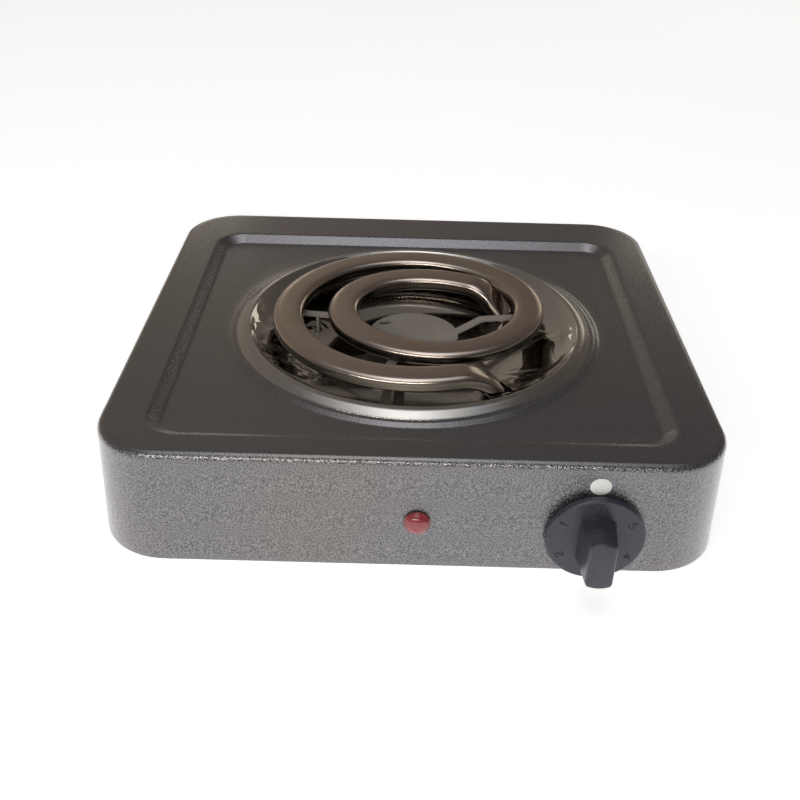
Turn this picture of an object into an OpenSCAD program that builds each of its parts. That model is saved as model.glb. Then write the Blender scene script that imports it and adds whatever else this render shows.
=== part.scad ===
// Single-coil electric hot plate, free standing, mains powered.
// Frame: millimetres, +Z up, the front panel with the knob faces -Y.
// Origin: on the resting surface, in the middle of the overall footprint.

/* [Body] */
// Width of the body across its top edge
body_w = 236; // [225:1:250]
// Depth of the body across its top edge
body_d = 222.5; // [215:0.5:235]
// Height of the pressed body from its bottom lip to its top face
body_h = 48; // [46:1:56]
// Plan radius of the body corners
corner_r = 25.7; // [22:0.1:30]
// Outward lean of each wall from its top to its bottom lip
draft = 1.75; // [0.5:0.05:3]
// Radius of the bend along the top edge
edge_r = 3; // [2:0.5:4]
// Thickness of the body sheet
sheet_t = 1; // [0.8:0.1:1.2]
// Width of the flange turned in along the bottom lip
flange_w = 12; // [10:1:14]
// Height of the feet below the bottom lip
foot_h = 8; // [6:0.5:12]

/* [Top tray] */
// Width of the sunk tray in the top
tray_w = 199; // [195:1:204]
// Distance from the body centre to the tray's front edge
tray_front = 97.5; // [95:0.5:99]
// Distance from the body centre to the tray's rear edge
tray_rear = 84; // [83:0.5:90]
// Depth of the tray
tray_depth = 3.4; // [3:0.1:4]
// Width of the slope around the tray
tray_slope = 5; // [3:0.5:6]
// Plan radius of the tray's corners
tray_r = 13; // [10:0.5:16]

/* [Drip pan] */
// Outer radius of the pan's rim
pan_r = 78; // [76.5:0.1:78.5]
// Height of the rim above the pressed collar it sits on
rim_h = 2.4; // [2.2:0.1:2.6]
// How steeply the rim rises from its outer edge, in degrees
rim_rise = 29; // [26:1:31]
// Radius of the bowl at its mouth
bowl_r = 71.7; // [70.5:0.1:71.9]
// Radius where the bowl's floor turns up into its wall
wall_r = 66; // [65:0.1:67]
// Slope of the floor where the wall starts, in degrees
floor_a = 20; // [19:0.5:21]
// Thickness of the pan's sheet
pan_t = 0.6; // [0.5:0.1:0.8]

/* [Heating coil] */
// Width of the flattened tube
tube_w = 13.3; // [12:0.1:13.6]
// Height of the flattened tube
tube_h = 6.9; // [6:0.1:7.2]
// Height of the coil's top above the body's top face
coil_rise = 5.3; // [5:0.1:7]
// Centreline radius of the outer turn
turn_outer = 55.06; // [54.5:0.01:55.5]
// Centreline radius of the inner turn
turn_inner = 33.04; // [32.6:0.01:33.4]

/* [Knob] */
// Radius of the knob's skirt
knob_r = 18.4; // [17:0.1:19]
// Distance of the knob's tip in front of the body's top edge line
knob_reach = 19.8; // [18:0.1:22]
// Sideways position of the knob's axis
knob_x = 68.3; // [60:0.1:74]
// Height of the knob's axis above the bottom lip
knob_up = 17.7; // [17.5:0.1:19]
// Full turn of the knob from off to the hottest mark, in degrees
knob_turn = 300; // [270:5:300]

/* [Front panel] */
// Sideways position of the pilot lamp
lamp_x = 2.7; // [-10:0.1:10]
// Height of the pilot lamp above the bottom lip
lamp_up = 21; // [18:0.5:26]
// Height of the index dot above the bottom lip
dot_up = 38.9; // [38.5:0.1:40]
// Radius of the index dot
dot_r = 3.85; // [3:0.05:4]

/* [Supply] */
// Sideways position of the cord gland
gland_x = 68; // [60:1:72]
// Height of the cord gland above the bottom lip
gland_up = 22; // [20:1:26]
// Radius of the hole for the cord
cord_r = 3.6; // [3:0.1:4]

/* [Hidden] */
$fn = 64;

// levels
lip = foot_h;
top = lip + body_h;
floor_z = top - tray_depth;
seat_z = floor_z + 1.4;             // top of the pressed collar under the pan's rim
rim_z = seat_z + rim_h;
coil_z = top + coil_rise - tube_h / 2;

// how far a wall leans out at a height above the bottom lip
function lean(h) = draft * (1 - h / (body_h - edge_r));
front_wall = function(h) -(body_d / 2 + lean(h));
rear_wall = function(h) body_d / 2 + lean(h);

knob_z = lip + knob_up;
knob_wall = front_wall(knob_up);
knob_tip = -(body_d / 2 + knob_reach);
gland_wall = rear_wall(gland_up);
gland_tip = gland_wall + 4.3;
// the footprint runs from the knob's tip to the gland's flange
by = -(knob_tip + gland_tip) / 2;

pan_c = [0.27, -4.45];
wall_a = 45;                        // slope of the bowl's wall at its mouth
mouth_r = 1.2;                      // radius of the bend between wall and rim
crown_r = 5.74;                     // radius of the rim's rounded top
bowl_s = wall_r / sin(floor_a);     // radius of the dished floor
wall_s = (bowl_r - wall_r) / (sin(wall_a) - sin(floor_a));
bowl_z = rim_z - mouth_r * (1 - cos(wall_a));
wall_z = bowl_z - wall_s * (cos(floor_a) - cos(wall_a));
bowl_c = wall_z + bowl_s * cos(floor_a);
bowl_depth = bowl_z - bowl_c + bowl_s;
function bowl_at(r) = bowl_c - sqrt(bowl_s * bowl_s - r * r);

// centreline of the coil, as arcs that run on from each other
c1 = [-0.07, -3.83];
a1_start = -75;
a1_end = 42;
r2 = 42.5;
c2 = c1 + (turn_outer - r2) * [cos(a1_end), sin(a1_end)];
a2_end = -140.6;
c3 = c2 + (r2 - turn_inner) * [cos(a2_end), sin(a2_end)];
a3_end = 100;
r4 = 50;
c4 = c3 + (turn_inner - r4) * [cos(a3_end), sin(a3_end)];
a4_end = 64;
// outer tail: a short straight run and a bend down to a level-ended leg
out_p = c1 + turn_outer * [cos(a1_start), sin(a1_start)];
out_h = a1_start + 90;              // heading of the outer tail, away from the coil
out_l = 4;
out_b = 20;
out_leg = out_p + (out_l + out_b) * [cos(out_h), sin(out_h)];
// inner tail: dips under the outer turn, then bends down to its leg
in_p = c4 + r4 * [cos(a4_end), sin(a4_end)];
in_h = a4_end - 90;
in_b = 14;
in_dip = 45;
in_s = 8;
in_t1 = in_b * sin(in_dip);
in_d1 = in_b * (1 - cos(in_dip));
in_t2 = in_t1 + in_s * cos(in_dip);
in_d2 = in_d1 + in_s * sin(in_dip);
in_t3 = in_t2 + in_b * (1 - sin(in_dip));
in_d3 = in_d2 + in_b * cos(in_dip);
in_leg = in_p + in_t3 * [cos(in_h), sin(in_h)];
leg_z = lip + 21;                   // lower end of both steel legs

foot_pos = [[-91, -84], [91, -84], [-91, 84], [91, 84]];
plate_screws = [[-60, -102], [60, -102], [-60, 102], [40, 102], [-109, 0], [109, 0]];

// colours
c_paint = [0.27, 0.26, 0.26];
c_steel = [0.72, 0.72, 0.70];
c_chrome = [0.80, 0.79, 0.76];
c_coil = [0.37, 0.32, 0.27];
c_black = [0.10, 0.10, 0.11];
c_white = [0.92, 0.91, 0.88];
c_brass = [0.78, 0.62, 0.33];

// rounded rectangle centred on the origin
module rrect(w, d, r) {
    square([w - 2 * r, d], center = true);
    square([w, d - 2 * r], center = true);
    for (x = [-1, 1], y = [-1, 1]) translate([x * (w / 2 - r), y * (d / 2 - r)]) circle(r);
}

// sweeps a profile drawn as (distance from the corner's centre, height) around a rounded rectangle
module around(w, d, r) {
    for (q = [0:3]) rotate([0, 0, 90 * q]) {
        a = (q % 2 == 0) ? w : d;
        b = (q % 2 == 0) ? d : w;
        translate([a / 2 - r, b / 2 - r, 0]) rotate_extrude(angle = 90) children();
        translate([a / 2 - r, b / 2 - r, 0]) rotate([90, 0, 0]) linear_extrude(b - 2 * r) children();
    }
}

// wall of the body with its top bend and its turned-in flange
module wall_profile() {
    rc = corner_r;
    t = sheet_t;
    e = edge_r;
    n = 8;
    polygon(concat(
        [[rc - flange_w, lip], [rc + draft, lip]],
        [for (i = [0:n]) [rc - e + e * cos(90 * i / n), top - e + e * sin(90 * i / n)]],
        [for (i = [n:-1:0]) [rc - e + (e - t) * cos(90 * i / n), top - e + (e - t) * sin(90 * i / n)]],
        [[rc + draft - t, lip + t], [rc - flange_w, lip + t]]));
}

module top_shell() {
    tray_y = (tray_rear - tray_front) / 2;
    tray_d = tray_rear + tray_front;
    color(c_paint) translate([0, by, 0]) difference() {
        union() {
            around(body_w, body_d, corner_r) wall_profile();
            // flat border round the tray
            translate([0, 0, top - sheet_t]) linear_extrude(sheet_t) difference() {
                rrect(body_w - 2 * edge_r, body_d - 2 * edge_r, corner_r - edge_r);
                translate([0, tray_y]) rrect(tray_w, tray_d, tray_r);
            }
            // slope of the tray
            translate([0, tray_y, 0]) around(tray_w, tray_d, tray_r)
                polygon([[tray_r, top], [tray_r - tray_slope, floor_z],
                    [tray_r - tray_slope, floor_z - sheet_t], [tray_r, top - sheet_t]]);
            // tray floor
            translate([0, tray_y, floor_z - sheet_t]) linear_extrude(sheet_t) difference() {
                rrect(tray_w - 2 * tray_slope, tray_d - 2 * tray_slope, tray_r - tray_slope);
                translate([pan_c[0], pan_c[1] - tray_y]) circle(84.5, $fn = 128);
            }
            // pressed collar that carries the pan's rim
            translate([pan_c[0], pan_c[1], 0]) rotate_extrude($fn = 128)
                polygon([[73, seat_z - sheet_t], [73, seat_z], [pan_r + 0.8, seat_z],
                    [84.5, floor_z], [84.5, floor_z - sheet_t], [pan_r + 0.6, seat_z - sheet_t]]);
        }
        // openings for the knob's bush and its two screws
        translate([knob_x, knob_wall - 8, knob_z]) rotate([-90, 0, 0]) cylinder(r = 5.3, h = 16);
        for (x = [-12.5, 12.5]) translate([knob_x + x, knob_wall - 8, knob_z])
            rotate([-90, 0, 0]) cylinder(r = 2.1, h = 16, $fn = 32);
        // opening for the pilot lamp
        translate([lamp_x, front_wall(lamp_up) - 8, lip + lamp_up]) rotate([-90, 0, 0])
            cylinder(r = 4.2, h = 16);
        // opening for the cord gland
        translate([gland_x, gland_wall - 8, lip + gland_up]) rotate([-90, 0, 0])
            cylinder(r = 6.2, h = 16);
        // screw holes in the bottom flange
        for (p = plate_screws) translate([p[0], p[1], lip - 1]) cylinder(r = 1.55, h = 4, $fn = 24);
    }
}

module base_plate() {
    color(c_steel) translate([0, by, lip - 0.8]) difference() {
        linear_extrude(0.8) rrect(body_w + 2 * draft - 7, body_d + 2 * draft - 7, corner_r - 2);
        for (p = plate_screws) translate([p[0], p[1], -1]) cylinder(r = 2, h = 3, $fn = 24);
        for (p = foot_pos) translate([p[0], p[1], -1]) cylinder(r = 2.2, h = 3, $fn = 24);
        // cooling slots with round ends, below the pan
        for (x = [-42:14:42], y = [-40, 22]) translate([x, y, -1]) {
            cylinder(r = 2, h = 3, $fn = 24);
            translate([0, 22, 0]) cylinder(r = 2, h = 3, $fn = 24);
            translate([-2, 0, 0]) cube([4, 22, 3]);
        }
        // holes for the terminal block's screw and the earth screw
        translate([72, 74, -1]) cylinder(r = 2.2, h = 3, $fn = 24);
        translate([30, 80, -1]) cylinder(r = 2.2, h = 3, $fn = 24);
    }
}

// one rubber foot with a sunk hole for its screw
module foot(p) {
    color(c_black) translate([p[0], p[1] + by, 0]) difference() {
        union() {
            cylinder(r1 = 8, r2 = 9, h = foot_h - 2.4);
            translate([0, 0, foot_h - 2.4]) cylinder(r = 9, h = 1.6);
        }
        translate([0, 0, -1]) cylinder(r = 4, h = 4.4, $fn = 32);
        translate([0, 0, -1]) cylinder(r = 2.1, h = foot_h + 2, $fn = 32);
    }
}
module foot_front_left() foot(foot_pos[0]);
module foot_front_right() foot(foot_pos[1]);
module foot_rear_left() foot(foot_pos[2]);
module foot_rear_right() foot(foot_pos[3]);

module foot_screws() {
    color(c_steel) for (p = foot_pos) translate([p[0], p[1] + by, 0]) difference() {
        union() {
            translate([0, 0, 1.2]) cylinder(r = 3.5, h = 2.2, $fn = 32);
            translate([0, 0, 3]) cylinder(r = 1.95, h = lip - 3 + 5, $fn = 24);
        }
        for (a = [0, 90]) rotate([0, 0, a]) translate([-2.2, -0.45, 1.1]) cube([4.4, 0.9, 1.1]);
    }
}

module foot_nuts() {
    color(c_steel) for (p = foot_pos) translate([p[0], p[1] + by, lip]) difference() {
        cylinder(r = 4, h = 3.2, $fn = 6);
        translate([0, 0, -1]) cylinder(r = 2, h = 6, $fn = 24);
    }
}

module base_screws() {
    color(c_steel) for (p = plate_screws) translate([p[0], p[1] + by, 0]) difference() {
        union() {
            translate([0, 0, lip - 2.6]) cylinder(r = 3.2, h = 1.8, $fn = 32);
            translate([0, 0, lip - 1]) cylinder(r = 1.5, h = 7, $fn = 24);
            translate([0, 0, lip + 6]) cylinder(r1 = 1.5, r2 = 0.4, h = 1.6, $fn = 24);
        }
        for (a = [0, 90]) rotate([0, 0, a]) translate([-2, -0.4, lip - 2.7]) cube([4, 0.8, 0.9]);
    }
}

module drip_pan() {
    n = 5;
    nf = 9;
    rc = 72.6;                                  // where the rim's top starts to fall
    zc = rim_z - crown_r;
    r1 = rc + crown_r * sin(rim_rise);
    z1 = zc + crown_r * cos(rim_rise);
    r2 = rc + (crown_r - pan_t) * sin(rim_rise);
    z2 = zc + (crown_r - pan_t) * cos(rim_rise);
    rw = bowl_r - wall_s * sin(wall_a);         // middle of the wall's curve
    zw = bowl_z + wall_s * cos(wall_a);
    function turn(i) = floor_a + (wall_a - floor_a) * i / n;
    function dish(i, s) = [s * sin(floor_a * i / nf), bowl_c - s * cos(floor_a * i / nf)];
    color(c_chrome) translate([pan_c[0], pan_c[1] + by, 0]) difference() {
        // dished floor, wall, bend, rounded top of the rim and the slope down to its edge
        rotate_extrude($fn = 96) polygon(concat(
            [for (i = [0:nf]) dish(i, bowl_s)],
            [for (i = [1:n]) [rw + wall_s * sin(turn(i)), zw - wall_s * cos(turn(i))]],
            [for (i = [1:3]) let (a = wall_a * (1 - i / 3))
                [bowl_r + mouth_r * (sin(wall_a) - sin(a)), rim_z - mouth_r * (1 - cos(a))]],
            [for (i = [0:n]) let (a = rim_rise * i / n) [rc + crown_r * sin(a), zc + crown_r * cos(a)]],
            [[pan_r - 0.3, z1 - (pan_r - 0.3 - r1) * tan(rim_rise)], [pan_r, seat_z + 0.1], [pan_r, seat_z],
                [r2 + (z2 - seat_z) / tan(rim_rise), seat_z]],
            [for (i = [n:-1:0]) let (a = rim_rise * i / n) [rc + (crown_r - pan_t) * sin(a), zc + (crown_r - pan_t) * cos(a)]],
            [for (i = [n:-1:1]) [rw + (wall_s + pan_t) * sin(turn(i)), zw - (wall_s + pan_t) * cos(turn(i))]],
            [for (i = [nf:-1:0]) dish(i, bowl_s + pan_t)]));
        // holes for the two legs of the element
        translate([out_leg[0] - pan_c[0], out_leg[1] - pan_c[1], lip]) rotate([0, 0, out_h])
            translate([-9.9, -7.4, 0]) cube([11.6, 14.8, body_h]);
        translate([in_leg[0] - pan_c[0], in_leg[1] - pan_c[1], lip]) rotate([0, 0, in_h])
            translate([-8.6, -7.4, 0]) cube([10.9, 14.8, body_h]);
        // slots for the tabs of the coil's support
        for (i = [0:2]) rotate([0, 0, arm_angles[i]]) translate([arm_tabs[i] - 1.2, -2.4, lip]) cube([2.4, 4.8, body_h]);
    }
}

// strap below the pan: its ends press up under the tray floor
module pan_bracket() {
    z0 = bowl_z - bowl_depth - pan_t - 2.6;
    z1 = floor_z - sheet_t;
    color(c_steel) translate([pan_c[0], pan_c[1] + by, 0]) rotate([0, 0, -28]) difference() {
        union() {
            translate([-88, -8, z0]) cube([176, 16, 1.5]);
            for (s = [-1, 1]) {
                translate([s * 87.25 - 0.75, -8, z0]) cube([1.5, 16, z1 - z0 - 0.1]);
                translate([s * 91 - 4.5, -8, z1 - 1.6]) cube([9, 16, 1.5]);
            }
        }
        translate([0, 0, z0 - 1]) cylinder(r = 2.7, h = 4, $fn = 32);
    }
}

// threaded stud with a foot, welded under the middle of the pan
module pan_stud() {
    z0 = bowl_z - bowl_depth - pan_t;
    color(c_steel) translate([pan_c[0], pan_c[1] + by, z0]) {
        translate([0, 0, -1]) cylinder(r = 5, h = 0.98, $fn = 48);
        translate([0, 0, -10.5]) cylinder(r = 2.5, h = 10, $fn = 32);
    }
}

module pan_nut() {
    z0 = bowl_z - bowl_depth - pan_t - 2.6;
    color(c_steel) translate([pan_c[0], pan_c[1] + by, z0 - 3.6]) difference() {
        translate([-4.5, -4.5, 0]) cube([9, 9, 3.5]);
        translate([0, 0, -1]) cylinder(r = 2.55, h = 6, $fn = 32);
    }
}

// section of the flattened tube: a squared-off oval
function squarish(v) = sign(v) * pow(abs(v) / cos(9), 0.6);
module tube_2d(g = 0) {
    polygon([for (a = [9:18:351])
        [(tube_w / 2 + g) * squarish(cos(a)), (tube_h / 2 + g) * squarish(sin(a))]]);
}
// joint between two runs of the tube, across heading h and pitch a
module tube_joint(p, z, h, a = 0) {
    translate([p[0], p[1], z]) rotate([0, a, h]) rotate([90, 0, 90]) translate([0, 0, -0.3])
        linear_extrude(0.6) tube_2d(0.03);
}
// level arc of the coil, running clockwise from angle a to angle b
module tube_arc(c, r, a, b) {
    translate([c[0], c[1], coil_z]) rotate([0, 0, b]) rotate_extrude(angle = a - b, $fn = 90)
        translate([r, 0]) tube_2d();
}
// bend in a vertical plane from pitch a to pitch b below level, starting at p and height z
module tube_dip(p, z, h, r, a, b) {
    translate([p[0] - r * sin(a) * cos(h), p[1] - r * sin(a) * sin(h), z - r * cos(a)])
        rotate([-90, -90, h]) rotate([0, 0, a]) rotate_extrude(angle = b - a, $fn = 72)
            translate([r, 0]) rotate(90) tube_2d();
}
// straight run that slopes down at pitch a
module tube_slope(p, z, h, a, l) {
    translate([p[0], p[1], z]) rotate([0, a, h]) rotate([90, 0, 90]) linear_extrude(l) tube_2d();
}
module tube_leg(p, h, z0, z1) {
    translate([p[0], p[1], z0]) rotate([0, 0, h + 90]) linear_extrude(z1 - z0) tube_2d();
}

module heating_element() {
    out_q = out_p + out_l * [cos(out_h), sin(out_h)];
    in_u = [cos(in_h), sin(in_h)];
    color(c_coil) translate([0, by, 0]) {
        tube_leg(out_leg, out_h, leg_z, coil_z - out_b);
        tube_dip(out_q, coil_z, out_h, out_b, 0, 90);
        tube_slope(out_p, coil_z, out_h, 0, out_l);
        tube_arc(c1, turn_outer, a1_start, a1_end - 360);
        tube_arc(c2, r2, a1_end, a2_end);
        tube_arc(c3, turn_inner, a2_end, a3_end - 360);
        tube_arc(c4, r4, a3_end, a4_end);
        tube_dip(in_p, coil_z, in_h, in_b, 0, in_dip);
        tube_slope(in_p + in_t1 * in_u, coil_z - in_d1, in_h, in_dip, in_s);
        tube_dip(in_p + in_t2 * in_u, coil_z - in_d2, in_h, in_b, in_dip, 90);
        tube_leg(in_leg, in_h, leg_z, coil_z - in_d3);
        tube_joint(out_leg, coil_z - out_b, out_h, 90);
        tube_joint(out_q, coil_z, out_h);
        tube_joint(out_p, coil_z, out_h);
        tube_joint(c1 + turn_outer * [cos(a1_end), sin(a1_end)], coil_z, a1_end - 90);
        tube_joint(c2 + r2 * [cos(a2_end), sin(a2_end)], coil_z, a2_end - 90);
        tube_joint(c3 + turn_inner * [cos(a3_end), sin(a3_end)], coil_z, a3_end - 90);
        tube_joint(in_p, coil_z, in_h);
        tube_joint(in_p + in_t1 * in_u, coil_z - in_d1, in_h, in_dip);
        tube_joint(in_p + in_t2 * in_u, coil_z - in_d2, in_h, in_dip);
        tube_joint(in_leg, coil_z - in_d3, in_h, 90);
    }
}

// spider that carries the turns: a round hub and three arms, each with a tab through the pan
arm_angles = [172, 10, -104];
arm_tabs = [43.2, 51.2, 43.2];      // radius of each arm's tab
hub_r = 20;
hub_z = 48.4;                       // top of the hub
module coil_support() {
    t = 0.9;
    zt = coil_z - tube_h / 2 - 0.05;
    color(c_steel) translate([pan_c[0], pan_c[1] + by, 0]) {
        difference() {
            translate([0, 0, hub_z - t]) cylinder(r = hub_r, h = t, $fn = 96);
            // hook hole near the hub's edge
            translate([-12.8, 10, hub_z - 2]) rotate([0, 0, 20]) {
                translate([-1.6, 0, 0]) cylinder(r = 1.3, h = 3, $fn = 24);
                translate([1.6, 0, 0]) cylinder(r = 1.3, h = 3, $fn = 24);
                translate([-1.6, -1.3, 0]) cube([3.2, 2.6, 3]);
            }
        }
        for (i = [0:2]) rotate([0, 0, arm_angles[i]]) {
            // arm: level on the hub, up a slope, then level under the turns
            rotate([90, 0, 0]) translate([0, 0, -2]) linear_extrude(4)
                polygon([[18.4, hub_z - t], [19.4, hub_z - t], [30.6, zt - t - 0.3], [31.6, zt - t], [58, zt - t], [58, zt],
                    [31, zt], [30, zt - 0.3], [18.8, hub_z], [18.4, hub_z]]);
            translate([arm_tabs[i] - 0.6, -2, bowl_at(arm_tabs[i]) - 4.5])
                cube([1.2, 4, zt - t / 2 - bowl_at(arm_tabs[i]) + 4.5]);
        }
    }
}

// ceramic seal in the end of a leg
module insulator(p, z) {
    color(c_white) translate([p[0], p[1] + by, 0]) difference() {
        union() {
            translate([0, 0, z - 4]) cylinder(r = 3.2, h = 4, $fn = 48);
            translate([0, 0, z - 6]) cylinder(r = 2.5, h = 2, $fn = 48);
        }
        translate([0, 0, z - 8]) cylinder(r = 1.25, h = 9, $fn = 32);
    }
}
module insulator_outer() insulator(out_leg, leg_z);
module insulator_inner() insulator(in_leg, leg_z);

// threaded terminal stud with its washer
module terminal(p, z) {
    color(c_steel) translate([p[0], p[1] + by, 0]) {
        translate([0, 0, z - 14]) cylinder(r = 1.2, h = 14, $fn = 32);
        translate([0, 0, z - 9.6]) cylinder(r = 3.2, h = 0.8, $fn = 32);
        translate([0, 0, z - 13]) cylinder(r = 3, h = 1.8, $fn = 6);
    }
}
module terminal_outer() terminal(out_leg, leg_z);
module terminal_inner() terminal(in_leg, leg_z);

// thermostat: all its pieces are placed from the knob's axis
plate_y = knob_wall + 1.65;
module at_knob() { translate([knob_x, by, knob_z]) children(); }
module y_rod(r, y0, y1, fn = 48) {
    translate([0, y0, 0]) rotate([-90, 0, 0]) cylinder(r = r, h = y1 - y0, $fn = fn);
}

module thermostat_plate() {
    color(c_steel) at_knob() difference() {
        translate([-17.5, plate_y, -10.5]) cube([35, 1.2, 21]);
        y_rod(5.02, plate_y - 2, plate_y + 4);
        for (x = [-12.5, 12.5]) translate([x, 0, 0]) y_rod(1.95, plate_y - 2, plate_y + 4, 32);
    }
}

module thermostat_body() {
    y0 = plate_y + 1.3;
    color(c_white) at_knob() difference() {
        translate([-17, y0, -10]) cube([34, 17, 20.5]);
        // well for the cam and the contact arm
        translate([-10, y0 + 2.5, -7]) cube([22, 12, 30]);
        // slot for the root of the arm
        translate([-18, y0 + 4.2, 3.1]) cube([12, 8.6, 4]);
        // slots for the fixed contact and the bimetal strip
        translate([10, y0 + 5, 8.3]) cube([8, 7, 0.9]);
        // bush and screw clearances
        y_rod(5.4, y0 - 1, y0 + 5);
        for (x = [-12.5, 12.5]) translate([x, 0, 0]) y_rod(2.1, y0 - 1, y0 + 6, 32);
    }
}

module thermostat_screws() {
    color(c_steel) at_knob() for (x = [-12.5, 12.5]) translate([x, 0, 0]) difference() {
        union() {
            y_rod(2.9, knob_wall - 1.75, knob_wall - 0.15);
            y_rod(1.9, knob_wall - 0.3, plate_y + 5, 32);
        }
        translate([-2, knob_wall - 1.8, -0.4]) cube([4, 0.8, 0.8]);
    }
}

module thermostat_terminals() {
    y0 = plate_y + 1.3;
    color(c_brass) at_knob() for (x = [-13.5, 9.5])
        translate([x, y0 + 17.05, -5]) difference() {
            cube([4, 9, 0.8]);
            translate([2, 6, -1]) cylinder(r = 0.8, h = 3, $fn = 24);
        }
}

module bimetal_strip() {
    y0 = plate_y + 1.3;
    color(c_brass) at_knob() {
        translate([-16, y0 + 5.2, 10.6]) cube([28, 6.6, 0.7]);
        translate([-16, y0 + 5.2, 11.3]) cube([6, 6.6, 1.4]);
    }
}

module fixed_contact() {
    y0 = plate_y + 1.3;
    color(c_brass) at_knob() {
        translate([5, y0 + 5.2, 8.4]) cube([11.5, 6.6, 0.7]);
        translate([7, y0 + 8.5, 7.35]) cylinder(r = 1.6, h = 1.1, $fn = 32);
    }
}

arm_z = 4.15;                       // underside of the arm above the knob's axis
module contact_arm() {
    y0 = plate_y + 1.3;
    color(c_brass) at_knob() {
        translate([-16, y0 + 5.2, arm_z]) cube([25, 6.6, 0.7]);
        translate([7, y0 + 8.5, arm_z + 0.7]) cylinder(r = 1.6, h = 0.5, $fn = 32);
        // nose that rides on the cam
        translate([-0.4, y0 + 5.6, cam_r(0) + 0.06]) cube([0.8, 5.8, arm_z - cam_r(0)]);
    }
}

module spindle_bush() {
    color(c_brass) at_knob() difference() {
        union() {
            y_rod(5, knob_wall - 1.7, plate_y + 2.6);
            y_rod(5.3, plate_y + 1.25, plate_y + 2.6);
        }
        y_rod(3.06, knob_wall - 4, plate_y + 6, 64);
    }
}

// cam: its radius grows evenly from 2 to 4.2 over 348 degrees, then steps back
function cam_r(f) = 2 + 2.2 * (f + 24) / 348;
module spindle() {
    y0 = plate_y + 1.3;
    color(c_steel) at_knob() {
        difference() {
            y_rod(3, knob_wall - 12, plate_y + 5, 64);
            translate([-4, knob_wall - 13, 2.2]) cube([8, 9.5, 3]);
        }
        translate([0, y0 + 5.3 + 6.4, 0]) rotate([90, 0, 0]) linear_extrude(6.4)
            polygon([for (f = [-24:12:324]) cam_r(f) * [-sin(f), cos(f)]]);
        y_rod(2, plate_y + 4.9, y0 + 14, 32);
    }
}

module knob() {
    back = knob_wall - 1.15;
    face = knob_wall - 4.1;
    n = 40;
    color(c_black) at_knob() difference() {
        union() {
            // skirt with a bevelled rim
            y_rod(knob_r, face + 0.8, back, 96);
            translate([0, face + 0.8, 0]) rotate([90, 0, 0]) cylinder(r1 = knob_r, r2 = knob_r - 1, h = 0.8, $fn = 96);
            // bar grip: flat tapered sides, ends turned on the axis
            intersection() {
                translate([0, 0, -12]) linear_extrude(24)
                    polygon([[-6.6, face + 0.1], [6.6, face + 0.1], [4.9, knob_tip], [-4.9, knob_tip]]);
                translate([0, face + 0.2, 0]) rotate([90, 0, 0])
                    cylinder(r1 = 10.75, r2 = 10.45, h = face + 0.2 - knob_tip, $fn = 96);
            }
        }
        // hollow behind the skirt
        y_rod(knob_r - 1.6, face + 1.2, back + 1, 96);
        // socket for the spindle
        y_rod(3.1, knob_wall - 12.3, back + 1, 64);
    }
}

module knob_clip() {
    color(c_steel) at_knob() translate([-1.3, knob_wall - 11.8, 2.25]) cube([2.6, 8, 0.45]);
}

module index_dot() {
    h = dot_up;
    color(c_white) translate([knob_x, by + front_wall(h), lip + h])
        rotate([90 - atan(draft / (body_h - edge_r)), 0, 0]) translate([0, 0, 0.02])
            cylinder(r = dot_r, h = 0.3);
}

module at_lamp() { translate([lamp_x, by + front_wall(lamp_up), lip + lamp_up]) children(); }
module lamp_lens() {
    color([0.75, 0.10, 0.12]) at_lamp() difference() {
        union() {
            y_rod(5, -1.2, -0.25);
            translate([0, -1.2, 0]) rotate([90, 0, 0]) cylinder(r1 = 4.6, r2 = 3.4, h = 1.6);
            translate([0, -2.8, 0]) rotate([90, 0, 0]) cylinder(r1 = 3.4, r2 = 1.6, h = 0.9);
            y_rod(4, -0.4, 1.4);
        }
        y_rod(2.7, -1.6, 2);
    }
}
module lamp_holder() {
    color(c_black) at_lamp() difference() {
        y_rod(4, 1.45, 20);
        y_rod(2.7, 0, 18);
        for (x = [-1.4, 1.4]) translate([x, 0, 0]) y_rod(0.75, 17, 21, 24);
    }
}
module lamp_clip() {
    color(c_steel) at_lamp() difference() {
        y_rod(6.2, 1.6, 2.4);
        y_rod(4.05, 1, 3);
    }
}
module neon_bulb() {
    color([0.9, 0.75, 0.6]) at_lamp() {
        y_rod(2.2, 1.6, 13);
        translate([0, 1.6, 0]) sphere(r = 2.2, $fn = 48);
        for (x = [-1.2, 1.2]) translate([x, 0, 0]) y_rod(0.3, 12.9, 17.4, 16);
    }
}

module cord_gland() {
    color(c_black) translate([gland_x, by + gland_wall, lip + gland_up]) difference() {
        union() {
            y_rod(8.5, 0.5, 3);
            translate([0, 3, 0]) rotate([-90, 0, 0]) cylinder(r1 = 8.5, r2 = 7, h = 1.3);
            y_rod(6, -2, 0.6);
            y_rod(7.6, -4, -1.4);
        }
        y_rod(cord_r, -6, 6);
    }
}

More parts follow.
